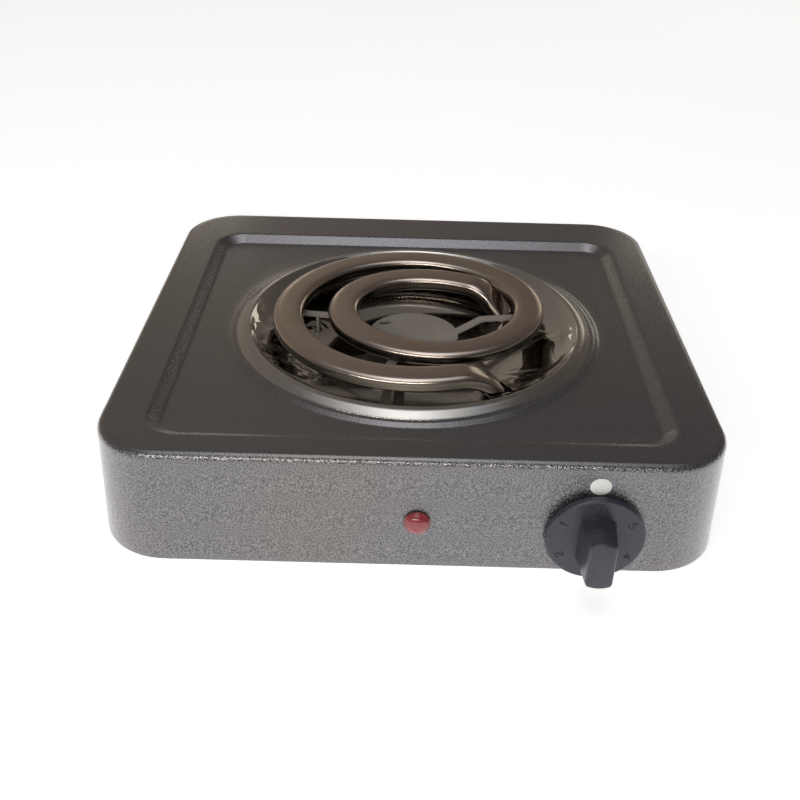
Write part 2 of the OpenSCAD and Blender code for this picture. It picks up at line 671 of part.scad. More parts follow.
// three-way block on the base plate, its screws and the wires that leave it
block = [54, 68, 8.05];
module terminal_block() {
    color(c_white) translate([0, by, 0]) difference() {
        translate([block[0], block[1], lip + 0.05]) cube([32, 12, 11]);
        for (i = [0:2]) translate([block[0] + 5.5 + i * 10.5, 0, lip + 5]) {
            y_rod(1.7, block[1] - 1, block[1] + 13, 32);
            for (y = [3, 9]) translate([0, block[1] + y, 0]) cylinder(r = 1.6, h = 8, $fn = 24);
        }
    }
}
module terminal_screws() {
    color(c_brass) translate([0, by, 0]) for (i = [0:2], y = [3, 9])
        translate([block[0] + 5.5 + i * 10.5, block[1] + y, lip + 7]) difference() {
            cylinder(r = 1.5, h = 3.6, $fn = 24);
            translate([-2, -0.3, 2.8]) cube([4, 0.6, 1]);
        }
}
module earth_screw() {
    color(c_brass) translate([30, 80 + by, 0]) difference() {
        union() {
            translate([0, 0, lip - 2.9]) cylinder(r = 3.4, h = 2, $fn = 32);
            translate([0, 0, lip - 1]) cylinder(r = 1.9, h = 11, $fn = 24);
        }
        translate([-4, -0.4, lip - 3.4]) cube([8, 0.8, 1.2]);
    }
}
module earth_washer() {
    color(c_steel) translate([30, 80 + by, lip + 0.05]) difference() {
        cylinder(r = 4.4, h = 0.8, $fn = 48);
        translate([0, 0, -1]) cylinder(r = 2.05, h = 3, $fn = 24);
    }
}
module earth_nut() {
    color(c_brass) translate([30, 80 + by, lip + 3.4]) difference() {
        cylinder(r = 3.9, h = 3, $fn = 6);
        translate([0, 0, -1]) cylinder(r = 1.95, h = 5, $fn = 24);
    }
}

// insulated wire along a list of points, with round corners
module lead(pts, r) {
    for (i = [0:len(pts) - 2]) {
        d = pts[i + 1] - pts[i];
        l = norm(d);
        translate(pts[i]) rotate([0, acos(d[2] / l), atan2(d[1], d[0])]) cylinder(r = r, h = l, $fn = 24);
        if (i > 0) translate(pts[i]) sphere(r = r + 0.08, $fn = 24);
    }
}
bx = block[0] + 5.5;
bz = lip + 5;
ty = plate_y + 1.3 + 17.05 + 9.2;    // just behind the thermostat's blades
module lead_live() {
    color([0.45, 0.25, 0.15]) translate([0, by, 0])
        lead([[bx + 21, block[1] - 0.1, bz], [bx + 21, 40, lip + 4], [bx + 24, -50, lip + 4],
            [knob_x + 11.5, ty + 8, knob_z - 4.6], [knob_x + 11.5, ty, knob_z - 4.6]], 1.4);
}
module lead_switched() {
    color([0.55, 0.55, 0.55]) translate([0, by, 0])
        lead([[knob_x - 11.5, ty, knob_z - 4.6], [knob_x - 11.5, ty + 8, knob_z - 4.6],
            [out_leg[0] + 9, out_leg[1] + 8, leg_z - 7.2], [out_leg[0] + 3.6, out_leg[1], leg_z - 7.2]], 1.4);
}
module lead_neutral() {
    color([0.20, 0.35, 0.70]) translate([0, by, 0])
        lead([[bx, block[1] - 0.1, bz], [bx, 40, lip + 6], [in_leg[0] + 8, in_leg[1] + 8, leg_z - 7.2],
            [in_leg[0] + 3.6, in_leg[1], leg_z - 7.2]], 1.4);
}
module lead_earth() {
    color([0.35, 0.60, 0.20]) translate([0, by, 0])
        lead([[bx + 10.5, block[1] - 0.1, bz], [bx + 10.5, 58, lip + 2.1], [36, 62, lip + 2.1],
            [31.2, 76.4, lip + 2.1]], 1.2);
}
module lead_lamp_live() {
    color([0.70, 0.20, 0.15]) translate([0, by, 0])
        lead([[lamp_x + 1.4, front_wall(lamp_up) + 18.2, lip + lamp_up],
            [lamp_x + 1.4, front_wall(lamp_up) + 22.5, lip + lamp_up],
            [lamp_x + 12, front_wall(lamp_up) + 28, lip + 12], [knob_x - 14, ty + 2, knob_z - 8]], 0.7);
}
module lead_lamp_neutral() {
    color([0.20, 0.30, 0.60]) translate([0, by, 0])
        lead([[lamp_x - 1.4, front_wall(lamp_up) + 18.2, lip + lamp_up],
            [lamp_x - 1.4, front_wall(lamp_up) + 30, lip + lamp_up],
            [10, -40, lip + 8], [18, 20, lip + 8], [in_leg[0] - 3.6, in_leg[1], leg_z - 8.2]], 0.7);
}

top_shell();
base_plate();
foot_front_left();
foot_front_right();
foot_rear_left();
foot_rear_right();
foot_screws();
foot_nuts();
base_screws();
drip_pan();
pan_bracket();
pan_stud();
pan_nut();
heating_element();
coil_support();
insulator_outer();
insulator_inner();
terminal_outer();
terminal_inner();
thermostat_plate();
thermostat_body();
thermostat_screws();
thermostat_terminals();
bimetal_strip();
fixed_contact();
contact_arm();
spindle_bush();
spindle();
knob();
knob_clip();
index_dot();
lamp_lens();
lamp_holder();
lamp_clip();
neon_bulb();
cord_gland();
terminal_block();
terminal_screws();
earth_screw();
earth_washer();
earth_nut();
lead_live();
lead_switched();
lead_neutral();
lead_earth();
lead_lamp_live();
lead_lamp_neutral();
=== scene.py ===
"""Looks of the hot plate burner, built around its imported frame. Metres, +Z up, the knob's side faces -Y."""
import math
import bmesh
import bpy
from mathutils import Matrix, Vector, noise


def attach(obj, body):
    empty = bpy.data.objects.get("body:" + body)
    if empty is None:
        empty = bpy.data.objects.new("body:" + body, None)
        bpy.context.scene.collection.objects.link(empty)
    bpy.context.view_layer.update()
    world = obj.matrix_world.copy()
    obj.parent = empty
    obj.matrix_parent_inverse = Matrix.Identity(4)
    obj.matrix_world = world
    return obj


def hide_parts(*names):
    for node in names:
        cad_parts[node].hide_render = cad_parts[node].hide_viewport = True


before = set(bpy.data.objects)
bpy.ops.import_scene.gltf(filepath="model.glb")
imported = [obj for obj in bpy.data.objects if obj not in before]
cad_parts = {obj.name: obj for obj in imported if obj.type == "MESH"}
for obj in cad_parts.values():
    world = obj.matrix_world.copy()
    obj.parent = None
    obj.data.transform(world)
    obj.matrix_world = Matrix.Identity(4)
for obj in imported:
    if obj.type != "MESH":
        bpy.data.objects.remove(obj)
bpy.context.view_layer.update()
MM = 0.001
BY = 7.302778            # the body's middle in the frame, in mm along Y
LIP = 8.0                # height of the body's bottom lip
TOP = LIP + 48.0
FLOOR_Z = TOP - 3.4
SEAT_Z = FLOOR_Z + 1.4
COIL_Z = TOP + 5.3 - 3.45
PAN = (0.27, -4.45)
sin, cos, pi = math.sin, math.cos, math.pi
rad, deg = math.radians, math.degrees


# ---------------------------------------------------------------- mesh helpers
def obj_from(bm, name, smooth=True, sharp=None):
    bmesh.ops.recalc_face_normals(bm, faces=bm.faces)
    me = bpy.data.meshes.new(name)
    bm.to_mesh(me)
    bm.free()
    ob = bpy.data.objects.new(name, me)
    bpy.context.collection.objects.link(ob)
    if smooth:
        for p in me.polygons:
            p.use_smooth = True
        if sharp is not None:
            me.set_sharp_from_angle(angle=rad(sharp))
    return ob


def loft(rings, close_u=True, cap_start=False, cap_end=False, bm=None):
    """Faces between rings of equal length, points in mm in the body's frame."""
    bm = bm or bmesh.new()
    vs = [[bm.verts.new((p[0] * MM, (p[1] + BY) * MM, p[2] * MM)) for p in r] for r in rings]
    n = len(rings[0])
    for a, b in zip(vs, vs[1:]):
        for j in range(n if close_u else n - 1):
            k = (j + 1) % n
            bm.faces.new((a[j], a[k], b[k], b[j]))
    if cap_start:
        bm.faces.new(vs[0][::-1])
    if cap_end:
        bm.faces.new(vs[-1])
    return bm


def rrect(w, d, r, cx=0.0, cy=0.0, nc=20, ns=26):
    """Points round a rounded rectangle, anticlockwise from the right-hand side's lower end."""
    r = max(r, 0.01)
    pts = []
    for q, (sx, sy) in enumerate(((1, 1), (-1, 1), (-1, -1), (1, -1))):
        a0 = q * 90
        c = (cx + sx * (w / 2 - r), cy + sy * (d / 2 - r))
        for i in range(nc):
            a = rad(a0 + 90 * i / (nc - 1))
            pts.append((c[0] + r * cos(a), c[1] + r * sin(a)))
        # side that follows this corner
        n = (q + 1) % 4
        s2 = ((1, 1), (-1, 1), (-1, -1), (1, -1))[n]
        c2 = (cx + s2[0] * (w / 2 - r), cy + s2[1] * (d / 2 - r))
        a1 = rad(a0 + 90)
        p = (c[0] + r * cos(a1), c[1] + r * sin(a1))
        e = (c2[0] + r * cos(a1), c2[1] + r * sin(a1))
        for i in range(1, ns + 1):
            t = i / (ns + 1)
            pts.append((p[0] + (e[0] - p[0]) * t, p[1] + (e[1] - p[1]) * t))
    return pts


def arc(c, r, a0, a1, n):
    return [(c[0] + r * cos(rad(a0 + (a1 - a0) * i / n)), c[1] + r * sin(rad(a0 + (a1 - a0) * i / n))) for i in range(n + 1)]


def lathe_y(name, prof, c, m=96, sharp=35):
    """Turned piece about an axis along Y through c = (x, z); prof is (radius, y) in the body's frame."""
    bm = bmesh.new()
    rings = []
    for r, y in prof:
        if r < 1e-4:
            rings.append([bm.verts.new((c[0] * MM, (y + BY) * MM, c[1] * MM))])
        else:
            rings.append([bm.verts.new(((c[0] + r * cos(2 * pi * j / m)) * MM, (y + BY) * MM, (c[1] + r * sin(2 * pi * j / m)) * MM)) for j in range(m)])
    for a, b in zip(rings, rings[1:]):
        for j in range(m):
            k = (j + 1) % m
            vs = [a[j % len(a)], a[k % len(a)], b[k % len(b)], b[j % len(b)]]
            u = []
            for v in vs:
                if v not in u:
                    u.append(v)
            if len(u) > 2:
                bm.faces.new(u)
    return obj_from(bm, name, sharp=sharp)


def lathe_z(name, prof, c, m=96, sharp=35):
    bm = bmesh.new()
    rings = []
    for r, z in prof:
        if r < 1e-4:
            rings.append([bm.verts.new((c[0] * MM, (c[1] + BY) * MM, z * MM))])
        else:
            rings.append([bm.verts.new(((c[0] + r * cos(2 * pi * j / m)) * MM, (c[1] + r * sin(2 * pi * j / m) + BY) * MM, z * MM)) for j in range(m)])
    for a, b in zip(rings, rings[1:]):
        for j in range(m):
            k = (j + 1) % m
            vs = [a[j % len(a)], a[k % len(a)], b[k % len(b)], b[j % len(b)]]
            u = []
            for v in vs:
                if v not in u:
                    u.append(v)
            if len(u) > 2:
                bm.faces.new(u)
    return obj_from(bm, name, sharp=sharp)


def cut(ob, cutters):
    """Cuts the cutters' shapes out of ob and applies it."""
    for c in cutters:
        m = ob.modifiers.new("cut", "BOOLEAN")
        m.operation = "DIFFERENCE"
        m.object = c
        m.solver = "EXACT"
    apply_all(ob)
    for c in cutters:
        bpy.data.objects.remove(c, do_unlink=True)


def apply_all(ob):
    bpy.context.view_layer.update()
    dg = bpy.context.evaluated_depsgraph_get()
    me = bpy.data.meshes.new_from_object(ob.evaluated_get(dg))
    ob.modifiers.clear()
    ob.data = me


def rod_y(c, r, y0, y1, m=48):
    bm = bmesh.new()
    a = [bm.verts.new(((c[0] + r * cos(2 * pi * j / m)) * MM, (y0 + BY) * MM, (c[1] + r * sin(2 * pi * j / m)) * MM)) for j in range(m)]
    b = [bm.verts.new(((c[0] + r * cos(2 * pi * j / m)) * MM, (y1 + BY) * MM, (c[1] + r * sin(2 * pi * j / m)) * MM)) for j in range(m)]
    for j in range(m):
        bm.faces.new((a[j], a[(j + 1) % m], b[(j + 1) % m], b[j]))
    bm.faces.new(a[::-1])
    bm.faces.new(b)
    return obj_from(bm, "cutter", smooth=False)


def box_at(name, lo, hi, rot=0.0, centre=(0, 0, 0)):
    bm = bmesh.new()
    bmesh.ops.create_cube(bm, size=1)
    for v in bm.verts:
        x = lo[0] + (v.co.x + 0.5) * (hi[0] - lo[0])
        y = lo[1] + (v.co.y + 0.5) * (hi[1] - lo[1])
        z = lo[2] + (v.co.z + 0.5) * (hi[2] - lo[2])
        xr = x * cos(rot) - y * sin(rot) + centre[0]
        yr = x * sin(rot) + y * cos(rot) + centre[1]
        v.co = Vector((xr * MM, (yr + BY) * MM, (z + centre[2]) * MM))
    return obj_from(bm, name, smooth=False)


# ---------------------------------------------------------------- material helpers
def new_mat(name):
    m = bpy.data.materials.new(name)
    m.use_nodes = True
    nt = m.node_tree
    return m, nt, nt.nodes["Principled BSDF"]


def node(nt, kind, **vals):
    n = nt.nodes.new(kind)
    for k, v in vals.items():
        if k in n.inputs:
            n.inputs[k].default_value = v
        else:
            setattr(n, k, v)
    return n


def coords(nt):
    return node(nt, "ShaderNodeTexCoord").outputs["Object"]


def noise_tex(nt, vec, scale, detail=3.0, rough=0.5, dist=0.0):
    n = node(nt, "ShaderNodeTexNoise")
    n.inputs["Scale"].default_value = scale
    n.inputs["Detail"].default_value = detail
    n.inputs["Roughness"].default_value = rough
    n.inputs["Distortion"].default_value = dist
    nt.links.new(vec, n.inputs["Vector"])
    return n


def ramp(nt, fac, stops):
    r = node(nt, "ShaderNodeValToRGB")
    els = r.color_ramp.elements
    while len(els) < len(stops):
        els.new(0.5)
    for e, (p, c) in zip(els, stops):
        e.position = p
        e.color = (*c, 1) if len(c) == 3 else c
    nt.links.new(fac, r.inputs["Fac"])
    return r


def map_range(nt, val, a, b, c, d):
    n = node(nt, "ShaderNodeMapRange")
    n.inputs["From Min"].default_value = a
    n.inputs["From Max"].default_value = b
    n.inputs["To Min"].default_value = c
    n.inputs["To Max"].default_value = d
    nt.links.new(val, n.inputs["Value"])
    return n.outputs["Result"]


def mix_rgb(nt, fac, a, b, blend="MIX"):
    n = node(nt, "ShaderNodeMix")
    n.data_type = "RGBA"
    n.blend_type = blend
    for sock, val in ((n.inputs["Factor"], fac), (n.inputs[6], a), (n.inputs[7], b)):
        if isinstance(val, (int, float)):
            sock.default_value = val
        elif isinstance(val, tuple):
            sock.default_value = (*val, 1)
        else:
            nt.links.new(val, sock)
    return n.outputs[2]


def bump(nt, height, strength, dist, normal=None):
    n = node(nt, "ShaderNodeBump")
    n.inputs["Strength"].default_value = strength
    n.inputs["Distance"].default_value = dist
    nt.links.new(height, n.inputs["Height"])
    if normal is not None:
        nt.links.new(normal, n.inputs["Normal"])
    return n.outputs["Normal"]


def paint_material():
    """Dark metallic enamel with a sandy, pebbled surface that flows out smoother where it lies level."""
    m, nt, b = new_mat("fleck_paint")
    tc = node(nt, "ShaderNodeTexCoord")
    v = tc.outputs["Object"]
    xyz = node(nt, "ShaderNodeSeparateXYZ")
    nt.links.new(tc.outputs["Normal"], xyz.inputs[0])
    rough_lay = map_range(nt, xyz.outputs["Z"], 0.45, 0.93, 1.0, 0.22)
    pebble = noise_tex(nt, v, 1450, 1.5, 0.55, 0.2)
    grit = noise_tex(nt, v, 1750, 1.0, 0.5)
    broad = noise_tex(nt, v, 8, 2.0, 0.5)
    tint = ramp(nt, broad.outputs["Fac"], [(0.38, (0.146, 0.132, 0.125)), (0.62, (0.137, 0.131, 0.144))])
    dark = map_range(nt, grit.outputs["Fac"], 0.34, 0.66, -0.68, 0.74)
    f = node(nt, "ShaderNodeMath")
    f.operation = "MULTIPLY_ADD"
    f.inputs[2].default_value = 1.0
    nt.links.new(dark, f.inputs[0])
    nt.links.new(rough_lay, f.inputs[1])
    c = node(nt, "ShaderNodeVectorMath")
    c.operation = "SCALE"
    nt.links.new(tint.outputs["Color"], c.inputs[0])
    nt.links.new(f.outputs["Value"], c.inputs["Scale"])
    nt.links.new(c.outputs["Vector"], b.inputs["Base Color"])
    b.inputs["Metallic"].default_value = 0.62
    rg = map_range(nt, grit.outputs["Fac"], 0.3, 0.7, 0.20, 0.32)
    nt.links.new(rg, b.inputs["Roughness"])
    b.inputs["Coat Weight"].default_value = 1.0
    b.inputs["Coat IOR"].default_value = 1.75
    b.inputs["Coat Roughness"].default_value = 0.10
    n1 = bump(nt, pebble.outputs["Fac"], 1.0, 0.00034)
    nt.links.new(rough_lay, n1.node.inputs["Strength"])
    n2 = bump(nt, pebble.outputs["Fac"], 1.0, 0.00018)
    nt.links.new(rough_lay, n2.node.inputs["Strength"])
    nt.links.new(n1, b.inputs["Normal"])
    nt.links.new(n2, b.inputs["Coat Normal"])
    return m


def chrome_material():
    """Thin chrome: a mirror in the bowl, rubbed to a satin on the rim."""
    m, nt, b = new_mat("pan_chrome")
    v = coords(nt)
    big = noise_tex(nt, v, 30, 2.0, 0.5)
    fine = noise_tex(nt, v, 400, 3.0, 0.6)
    flat = node(nt, "ShaderNodeVectorMath")
    flat.operation = "MULTIPLY"
    flat.inputs[1].default_value = (1.0, 1.0, 0.0)
    nt.links.new(v, flat.inputs[0])
    far = node(nt, "ShaderNodeVectorMath")
    far.operation = "DISTANCE"
    far.inputs[1].default_value = (PAN[0] * MM, (PAN[1] + BY) * MM, 0.0)
    nt.links.new(flat.outputs["Vector"], far.inputs[0])
    rim = map_range(nt, far.outputs["Value"], 0.0712, 0.0732, 0.0, 1.0)
    c = ramp(nt, big.outputs["Fac"], [(0.3, (0.60, 0.575, 0.54)), (0.7, (0.68, 0.66, 0.63))])
    worn = mix_rgb(nt, rim, c.outputs["Color"], (0.575, 0.555, 0.525))
    nt.links.new(worn, b.inputs["Base Color"])
    b.inputs["Metallic"].default_value = 1.0
    shine = map_range(nt, fine.outputs["Fac"], 0.3, 0.8, 0.045, 0.11)
    satin = node(nt, "ShaderNodeMath")
    satin.operation = "MULTIPLY_ADD"
    satin.inputs[1].default_value = 0.155
    nt.links.new(rim, satin.inputs[0])
    nt.links.new(shine, satin.inputs[2])
    nt.links.new(satin.outputs["Value"], b.inputs["Roughness"])
    return m


def coil_material():
    """Heat-coloured bronze sheath; the sides and underside carry painted shade, a darker and duller colour picked by
    which way the surface faces.
    """
    m, nt, b = new_mat("oxidised_sheath_painted_shade")
    tc = node(nt, "ShaderNodeTexCoord")
    v = tc.outputs["Object"]
    big = noise_tex(nt, v, 22, 3.0, 0.55)
    mid = noise_tex(nt, v, 160, 3.0, 0.6)
    top = ramp(nt, big.outputs["Fac"], [(0.32, (0.585, 0.490, 0.425)), (0.52, (0.620, 0.530, 0.460)), (0.70, (0.590, 0.515, 0.435))])
    # painted shade: a much darker bronze for the sides and underside of the tube
    painted_shade_colour = ramp(nt, big.outputs["Fac"], [(0.32, (0.130, 0.112, 0.092)), (0.70, (0.160, 0.140, 0.112))])
    xyz = node(nt, "ShaderNodeSeparateXYZ")
    nt.links.new(tc.outputs["Normal"], xyz.inputs[0])
    # mask by the surface's facing, from painted shade on the sides and underside to bronze on the top
    up = map_range(nt, xyz.outputs["Z"], 0.05, 0.62, 0.0, 1.0)
    c = mix_rgb(nt, up, painted_shade_colour.outputs["Color"], top.outputs["Color"])
    c2 = mix_rgb(nt, map_range(nt, mid.outputs["Fac"], 0.4, 0.7, 0.0, 0.16), c, (0.36, 0.31, 0.24))
    nt.links.new(c2, b.inputs["Base Color"])
    b.inputs["Metallic"].default_value = 1.0
    nt.links.new(map_range(nt, mid.outputs["Fac"], 0.3, 0.7, 0.20, 0.27), b.inputs["Roughness"])
    return m


def plastic_material(name, col, rough, grain=0.25):
    m, nt, b = new_mat(name)
    v = coords(nt)
    n1 = noise_tex(nt, v, 1800, 3.0, 0.6)
    n2 = noise_tex(nt, v, 60, 3.0, 0.5)
    c = ramp(nt, n2.outputs["Fac"], [(0.3, tuple(x * 0.88 for x in col)), (0.7, tuple(min(1, x * 1.1) for x in col))])
    nt.links.new(c.outputs["Color"], b.inputs["Base Color"])
    nt.links.new(map_range(nt, n2.outputs["Fac"], 0.3, 0.7, rough - 0.05, rough + 0.05), b.inputs["Roughness"])
    nt.links.new(bump(nt, n1.outputs["Fac"], grain, 0.00006), b.inputs["Normal"])
    return m


def metal_material(name, col, rough, scale=300, aniso=0.0):
    m, nt, b = new_mat(name)
    v = coords(nt)
    n1 = noise_tex(nt, v, scale, 4.0, 0.6)
    n2 = noise_tex(nt, v, 40, 3.0, 0.5)
    c = ramp(nt, n2.outputs["Fac"], [(0.3, tuple(x * 0.85 for x in col)), (0.7, tuple(min(1, x * 1.08) for x in col))])
    nt.links.new(c.outputs["Color"], b.inputs["Base Color"])
    b.inputs["Metallic"].default_value = 1.0
    nt.links.new(map_range(nt, n1.outputs["Fac"], 0.3, 0.7, rough - 0.06, rough + 0.08), b.inputs["Roughness"])
    nt.links.new(bump(nt, n1.outputs["Fac"], 0.08, 0.0001), b.inputs["Normal"])
    return m


MATS = {}


def mat(key):
    if key not in MATS:
        MATS[key] = {
            "paint": paint_material,
            "chrome": chrome_material,
            "coil": coil_material,
            "black": lambda: plastic_material("black_moulding", (0.042, 0.043, 0.060), 0.30, 0.12),
            "rubber": lambda: plastic_material("foot_rubber", (0.022, 0.022, 0.023), 0.68, 0.5),
            "steel": lambda: metal_material("zinc_plate", (0.62, 0.63, 0.64), 0.30),
            "dull_steel": hub_material,
            "brass": lambda: metal_material("brass_part", (0.72, 0.55, 0.27), 0.28),
            "ceramic": lambda: plastic_material("steatite", (0.82, 0.80, 0.74), 0.55, 0.3),
            "white": lambda: plastic_material("white_print", (0.86, 0.86, 0.84), 0.45, 0.35),
            "brown": lambda: plastic_material("sleeve_brown", (0.22, 0.10, 0.05), 0.7, 0.6),
            "blue": lambda: plastic_material("sleeve_blue", (0.04, 0.10, 0.32), 0.55, 0.4),
            "green": lambda: plastic_material("sleeve_green", (0.10, 0.32, 0.05), 0.55, 0.4),
            "grey": lambda: plastic_material("sleeve_grey", (0.35, 0.35, 0.35), 0.7, 0.6),
            "lens": lens_material,
            "bulb": bulb_material,
        }[key]()
    return MATS[key]


def hub_material():
    """Satin galvanised sheet, dulled by heat."""
    m, nt, b = new_mat("dull_galvanised")
    v = coords(nt)
    n1 = noise_tex(nt, v, 260, 4.0, 0.6)
    n2 = noise_tex(nt, v, 45, 3.0, 0.5)
    c = ramp(nt, n2.outputs["Fac"], [(0.3, (0.36, 0.32, 0.28)), (0.7, (0.43, 0.39, 0.345))])
    nt.links.new(c.outputs["Color"], b.inputs["Base Color"])
    b.inputs["Metallic"].default_value = 0.35
    nt.links.new(map_range(nt, n1.outputs["Fac"], 0.3, 0.7, 0.50, 0.62), b.inputs["Roughness"])
    nt.links.new(bump(nt, n1.outputs["Fac"], 0.10, 0.0001), b.inputs["Normal"])
    return m


def lens_material():
    m, nt, b = new_mat("red_lens_glow")
    v = coords(nt)
    n = noise_tex(nt, v, 500, 2.0, 0.5)
    c = ramp(nt, n.outputs["Fac"], [(0.3, (0.37, 0.050, 0.060)), (0.7, (0.46, 0.085, 0.095))])
    nt.links.new(c.outputs["Color"], b.inputs["Base Color"])
    b.inputs["Roughness"].default_value = 0.16
    b.inputs["Transmission Weight"].default_value = 0.25
    b.inputs["Coat Weight"].default_value = 0.6
    b.inputs["Coat Roughness"].default_value = 0.08
    nt.links.new(bump(nt, n.outputs["Fac"], 0.08, 0.0001), b.inputs["Normal"])
    return m


def bulb_material():
    m, nt, b = new_mat("bulb_glass_clear")
    v = coords(nt)
    n = noise_tex(nt, v, 200, 2.0, 0.5)
    c = ramp(nt, n.outputs["Fac"], [(0.3, (0.9, 0.78, 0.66)), (0.7, (1.0, 0.88, 0.76))])
    nt.links.new(c.outputs["Color"], b.inputs["Base Color"])
    b.inputs["Roughness"].default_value = 0.05
    b.inputs["Transmission Weight"].default_value = 0.9
    return m


def dress(ob, key):
    ob.data.materials.clear()
    ob.data.materials.append(mat(key))


def piece(ob, key, slot, body, *nodes):
    dress(ob, key)
    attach(ob, body)
    if nodes:
        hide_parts(*nodes)
    return ob


# ---------------------------------------------------------------- body shell
W, D, RC, DR, ER = 236.0, 222.5, 25.7, 1.75, 3.0
TW, TF, TR, TS, TRR = 199.0, 97.5, 84.0, 5.0, 13.0


def lean(h):
    return DR * (1 - h / (48 - ER))


def front_wall(h):
    return -(D / 2 + lean(h))


def rear_wall(h):
    return D / 2 + lean(h)


def shell_rings():
    rings = []

    def ring(out, z, base=(W, D, RC), cy=0.0):
        w, d, r = base
        rings.append([(x, y, z) for x, y in rrect(w + 2 * out, d + 2 * out, r + out, 0, cy)])

    # flange turned in along the bottom, then the bottom bend
    for o in (-12.0, -8.0, -4.0, -1.0):
        ring(o, LIP)
    for i in range(1, 6):
        a = 90 * i / 5
        ring(DR - 1.0 + 1.0 * sin(rad(a)), LIP + 1.0 - 1.0 * cos(rad(a)))
    for h in (4, 9, 14, 19, 24, 29, 34, 39, 43):
        ring(lean(h), LIP + h)
    n = 10
    for i in range(n + 1):
        a = rad(90 * i / n)
        ring(-ER + ER * cos(a) + (0.08 * (1 - i / n)), TOP - ER + ER * sin(a))
    # flat border, then the rolled edge and slope of the tray
    cy = (TR - TF) / 2
    tray = (TW, TR + TF, TRR)
    ring(-5.0, TOP)
    ring(3.0, TOP, tray, cy)
    # top fillet of the slope
    slope = math.atan2(3.4, TS)
    for i in range(0, 6):
        a = slope * i / 5
        r = 2.2
        ring(1.2 - r * sin(a) * 1.0, TOP - r * (1 - cos(a)), tray, cy)
    x0 = 1.2 - 2.2 * sin(slope)
    z0 = TOP - 2.2 * (1 - cos(slope))
    # bottom fillet: ends level at the tray floor
    r = 2.6
    zb = FLOOR_Z + r * (1 - cos(slope))
    xb = x0 - (z0 - zb) / math.tan(slope)
    for t in (0.35, 0.7):
        ring(x0 + (xb - x0) * t, z0 + (zb - z0) * t, tray, cy)
    for i in range(0, 6):
        a = slope * (1 - i / 5)
        ring(xb - r * (sin(slope) - sin(a)), FLOOR_Z + r * (1 - cos(a)), tray, cy)
    last = rings[-1]
    # over the flat floor to the round collar
    rc = 82.6
    circ = []
    for x, y, z in last:
        a = math.atan2(y - PAN[1], x - PAN[0])
        circ.append((PAN[0] + rc * cos(a), PAN[1] + rc * sin(a), FLOOR_Z))
    for t in (0.25, 0.5, 0.75):
        rings.append([(p[0] + (q[0] - p[0]) * t, p[1] + (q[1] - p[1]) * t, FLOOR_Z) for p, q in zip(last, circ)])
    prof = [(rc, FLOOR_Z), (82.0, FLOOR_Z + 0.06), (81.4, FLOOR_Z + 0.25), (80.8, FLOOR_Z + 0.55), (80.2, FLOOR_Z + 0.88),
            (79.7, FLOOR_Z + 1.14), (79.2, FLOOR_Z + 1.31), (78.6, FLOOR_Z + 1.38), (78.0, SEAT_Z), (75.5, SEAT_Z), (73.0, SEAT_Z)]
    for r, z in prof:
        ringp = []
        for x, y, _ in circ:
            a = math.atan2(y - PAN[1], x - PAN[0])
            ringp.append((PAN[0] + r * cos(a), PAN[1] + r * sin(a), z))
        rings.append(ringp)
    return rings


def build_shell():
    ob = obj_from(loft(shell_rings()), "body_pressing", smooth=True)
    # normals: outward is up at the top
    s = ob.modifiers.new("sheet", "SOLIDIFY")
    s.thickness = 1.0 * MM
    s.offset = -1.0
    s.use_quality_normals = True
    apply_all(ob)
    kz = LIP + 17.7
    kw = front_wall(17.7)
    cutters = [rod_y((68.3, kz), 5.3, kw - 6, kw + 8), rod_y((55.8, kz), 2.1, kw - 6, kw + 8, 24), rod_y((80.8, kz), 2.1, kw - 6, kw + 8, 24),
               rod_y((2.7, LIP + 21), 4.2, front_wall(21) - 6, front_wall(21) + 8),
               rod_y((68.0, LIP + 22), 6.2, rear_wall(22) - 8, rear_wall(22) + 6)]
    cut(ob, cutters)
    for p in ob.data.polygons:
        p.use_smooth = True
    ob.data.set_sharp_from_angle(angle=rad(50))
    return ob


shell = build_shell()
piece(shell, "paint", "hammertone_paint", "housing", "top_shell")


# ---------------------------------------------------------------- coil
TUBE_W, TUBE_H = 13.3, 6.9
C1, R1 = (-0.07, -3.83), 55.06
R2 = 42.5
A1S, A1E, A2E, A3E, A4E = -75.0, 42.0, -140.6, 100.0, 64.0
C2 = (C1[0] + (R1 - R2) * cos(rad(A1E)), C1[1] + (R1 - R2) * sin(rad(A1E)))
R3 = 33.04
C3 = (C2[0] + (R2 - R3) * cos(rad(A2E)), C2[1] + (R2 - R3) * sin(rad(A2E)))
R4 = 50.0
C4 = (C3[0] + (R3 - R4) * cos(rad(A3E)), C3[1] + (R3 - R4) * sin(rad(A3E)))
OUT_P = (C1[0] + R1 * cos(rad(A1S)), C1[1] + R1 * sin(rad(A1S)))
OUT_H = A1S + 90
OUT_L, OUT_B = 4.0, 20.0
IN_P = (C4[0] + R4 * cos(rad(A4E)), C4[1] + R4 * sin(rad(A4E)))
IN_H = A4E - 90
IN_B, IN_DIP, IN_S = 14.0, 45.0, 8.0
LEG_Z = LIP + 21


